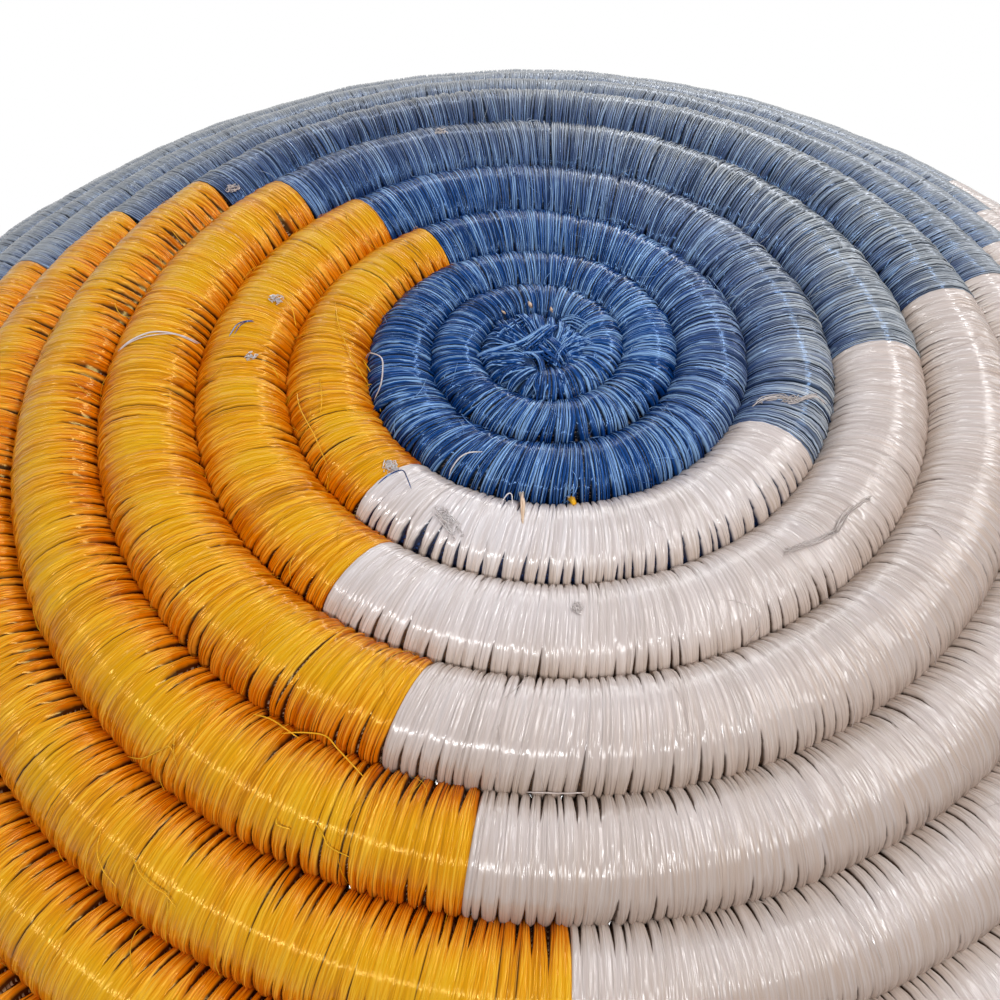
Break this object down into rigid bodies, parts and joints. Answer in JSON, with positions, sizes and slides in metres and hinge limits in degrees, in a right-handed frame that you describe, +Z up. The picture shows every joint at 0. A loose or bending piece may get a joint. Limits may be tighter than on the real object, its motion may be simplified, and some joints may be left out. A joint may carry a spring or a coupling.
{
  "type": "coiled basket bowl",
  "caption": "Shallow round bowl coiled from one fibre-wrapped bundle, flat base, flaring wall and open mouth, with orange, white and blue arms swirling out of a blue centre.",
  "frame": {"origin": "centre of the underside of the flat base, on the surface the bowl stands on", "axes": "+Z up out of the mouth, -Y towards the front, where each whole turn of the coil is counted"},
  "size_m": [0.2911, 0.2885, 0.0885],
  "materials": {
    "blue_fibre": "dyed sisal, silky gloss along the wraps",
    "orange_fibre": "dyed sisal, silky gloss along the wraps",
    "white_fibre": "undyed bleached sisal, silky gloss along the wraps",
    "grass_straw": "dry grass stems, matt"
  },
  "bodies": {
    "root": {"start_knot": "blue_fibre", "foundation_coil": "grass_straw", "blue_centre_wrap": "blue_fibre", "orange_wrap_01": "orange_fibre", "orange_wrap_02": "orange_fibre", "orange_wrap_03": "orange_fibre", "orange_wrap_04": "orange_fibre", "orange_wrap_05": "orange_fibre", "orange_wrap_06": "orange_fibre", "orange_wrap_07": "orange_fibre", "orange_wrap_08": "orange_fibre", "orange_wrap_09": "orange_fibre", "orange_wrap_10": "orange_fibre", "orange_wrap_11": "orange_fibre", "orange_wrap_12": "orange_fibre", "orange_wrap_13": "orange_fibre", "orange_wrap_14": "orange_fibre", "orange_wrap_15": "orange_fibre", "white_wrap_01": "white_fibre", "white_wrap_02": "white_fibre", "white_wrap_03": "white_fibre", "white_wrap_04": "white_fibre", "white_wrap_05": "white_fibre", "white_wrap_06": "white_fibre", "white_wrap_07": "white_fibre", "white_wrap_08": "white_fibre", "white_wrap_09": "white_fibre", "white_wrap_10": "white_fibre", "white_wrap_11": "white_fibre", "white_wrap_12": "white_fibre", "white_wrap_13": "white_fibre", "white_wrap_14": "white_fibre", "white_wrap_15": "white_fibre", "blue_wrap_01": "blue_fibre", "blue_wrap_02": "blue_fibre", "blue_wrap_03": "blue_fibre", "blue_wrap_04": "blue_fibre", "blue_wrap_05": "blue_fibre", "blue_wrap_06": "blue_fibre", "blue_wrap_07": "blue_fibre", "blue_wrap_08": "blue_fibre", "blue_wrap_09": "blue_fibre", "blue_wrap_10": "blue_fibre", "blue_wrap_11": "blue_fibre", "blue_wrap_12": "blue_fibre", "blue_wrap_13": "blue_fibre", "blue_wrap_14": "blue_fibre", "blue_wrap_15": "blue_fibre", "rim_finish_wrap": "blue_fibre"}
  },
  "joints": []
}
